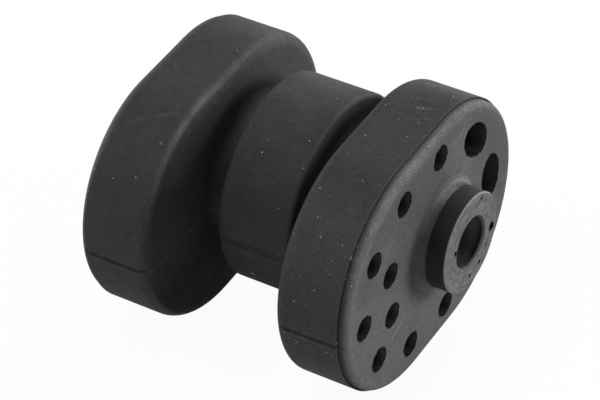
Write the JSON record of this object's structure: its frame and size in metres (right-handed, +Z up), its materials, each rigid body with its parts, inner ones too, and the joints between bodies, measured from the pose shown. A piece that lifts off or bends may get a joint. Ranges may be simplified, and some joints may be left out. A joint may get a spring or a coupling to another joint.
{
  "type": "engine mount",
  "caption": "Rubber bobbin engine mount: oval flanges either side of a drum, relief holes in one face, and a rigid off-centre sleeve for a through bolt.",
  "frame": {"origin": "middle of the footprint, on the surface that the flat flanks of the flanges lie on", "axes": "+X along the bolt axis towards the flange face with the relief holes, +Z up, +Y across the flanges towards the end that the sleeve is nearer to"},
  "size_m": [0.089, 0.0804, 0.0622],
  "materials": {
    "rubber": "matte moulded rubber with a dusty grey bloom",
    "sleeve": "matte black coated steel with a greyer end face"
  },
  "bodies": {
    "root": {"rubber_body": "rubber", "inner_sleeve": "sleeve"}
  },
  "joints": []
}
